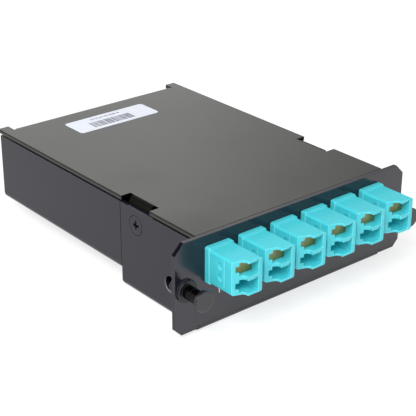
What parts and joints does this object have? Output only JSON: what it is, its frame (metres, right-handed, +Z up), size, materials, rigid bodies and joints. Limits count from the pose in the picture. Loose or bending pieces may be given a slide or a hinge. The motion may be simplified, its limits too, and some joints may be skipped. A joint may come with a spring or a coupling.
{
  "type": "fibre cassette",
  "caption": "Shallow folded-steel fibre cassette: LC duplex adapters in a chamfered front panel with push-pull plungers, MPO port at the rear.",
  "frame": {"origin": "under the middle of the whole box, on the surface it stands on", "axes": "+Z up, +Y from the front panel towards the rear, +X along the panel to the right seen from the front"},
  "size_m": [0.1104, 0.153, 0.0362],
  "materials": {
    "powder_coat": "satin powder coat",
    "aqua_plastic": "moulded, light gloss",
    "bronze_leaf": "bare phosphor bronze, dull",
    "ceramic": "polished zirconia",
    "spring_steel": "bare strip",
    "black_nylon": "moulded nylon",
    "black_screw": "black oxide",
    "zinc_steel": "zinc plated",
    "label_stock": "coated label stock",
    "plug_plastic": "moulded",
    "boot_rubber": "soft moulded",
    "fibre_jacket": "extruded",
    "mpo_aqua": "moulded",
    "black_plastic": "moulded"
  },
  "bodies": {
    "cassette": {"adapter_1": "aqua_plastic", "adapter_2": "aqua_plastic", "adapter_3": "aqua_plastic", "adapter_4": "aqua_plastic", "adapter_5": "aqua_plastic", "adapter_6": "aqua_plastic", "adapter_clip_1": "spring_steel", "adapter_clip_2": "spring_steel", "adapter_clip_3": "spring_steel", "adapter_clip_4": "spring_steel", "adapter_clip_5": "spring_steel", "adapter_clip_6": "spring_steel", "breakout_block": "black_plastic", "breakout_cradle": "black_plastic", "chassis": "powder_coat", "cover": "powder_coat", "cover_screws": "black_screw", "fibres": "fibre_jacket", "grommet_left": "black_nylon", "grommet_right": "black_nylon", "label": "label_stock", "lc_boots": "boot_rubber", "lc_ferrules": "ceramic", "lc_plug_1": "plug_plastic", "lc_plug_10": "plug_plastic", "lc_plug_11": "plug_plastic", "lc_plug_12": "plug_plastic", "lc_plug_2": "plug_plastic", "lc_plug_3": "plug_plastic", "lc_plug_4": "plug_plastic", "lc_plug_5": "plug_plastic", "lc_plug_6": "plug_plastic", "lc_plug_7": "plug_plastic", "lc_plug_8": "plug_plastic", "lc_plug_9": "plug_plastic", "mpo_adapter": "black_plastic", "mpo_boot": "boot_rubber", "mpo_nuts": "zinc_steel", "mpo_plug": "mpo_aqua", "mpo_screws": "zinc_steel", "sleeves_1": "ceramic", "sleeves_2": "ceramic", "sleeves_3": "ceramic", "sleeves_4": "ceramic", "sleeves_5": "ceramic", "sleeves_6": "ceramic", "trunk_cable": "fibre_jacket"},
    "pin_left": {"plunger_left": "black_nylon"},
    "pin_right": {"plunger_right": "black_nylon"},
    "leaf_1": {"shutter_1": "bronze_leaf"},
    "leaf_2": {"shutter_2": "bronze_leaf"},
    "leaf_3": {"shutter_3": "bronze_leaf"},
    "leaf_4": {"shutter_4": "bronze_leaf"},
    "leaf_5": {"shutter_5": "bronze_leaf"},
    "leaf_6": {"shutter_6": "bronze_leaf"}
  },
  "joints": [
    {"name": "plunger_left_push", "type": "slide", "parent": "cassette", "child": "pin_left", "axis": [0, 1, 0], "range_m": [0, 0.0069]},
    {"name": "plunger_right_push", "type": "slide", "parent": "cassette", "child": "pin_right", "axis": [0, 1, 0], "range_m": [0, 0.0069]},
    {"name": "shutter_1_swing", "type": "hinge", "parent": "cassette", "child": "leaf_1", "pos_m": [-0.04023, -0.07255, 0.02832], "axis": [0, 0, 1], "range_deg": [0, 82], "stiffness_Nm_per_rad": 0.0001, "springref_deg": -20.05},
    {"name": "shutter_2_swing", "type": "hinge", "parent": "cassette", "child": "leaf_2", "pos_m": [-0.02549, -0.07255, 0.02832], "axis": [0, 0, 1], "range_deg": [0, 82], "stiffness_Nm_per_rad": 0.0001, "springref_deg": -20.05},
    {"name": "shutter_3_swing", "type": "hinge", "parent": "cassette", "child": "leaf_3", "pos_m": [-0.01075, -0.07255, 0.02832], "axis": [0, 0, 1], "range_deg": [0, 82], "stiffness_Nm_per_rad": 0.0001, "springref_deg": -20.05},
    {"name": "shutter_4_swing", "type": "hinge", "parent": "cassette", "child": "leaf_4", "pos_m": [0.00399, -0.07255, 0.02832], "axis": [0, 0, 1], "range_deg": [0, 82], "stiffness_Nm_per_rad": 0.0001, "springref_deg": -20.05},
    {"name": "shutter_5_swing", "type": "hinge", "parent": "cassette", "child": "leaf_5", "pos_m": [0.01873, -0.07255, 0.02832], "axis": [0, 0, 1], "range_deg": [0, 82], "stiffness_Nm_per_rad": 0.0001, "springref_deg": -20.05},
    {"name": "shutter_6_swing", "type": "hinge", "parent": "cassette", "child": "leaf_6", "pos_m": [0.03347, -0.07255, 0.02832], "axis": [0, 0, 1], "range_deg": [0, 82], "stiffness_Nm_per_rad": 0.0001, "springref_deg": -20.05}
  ]
}
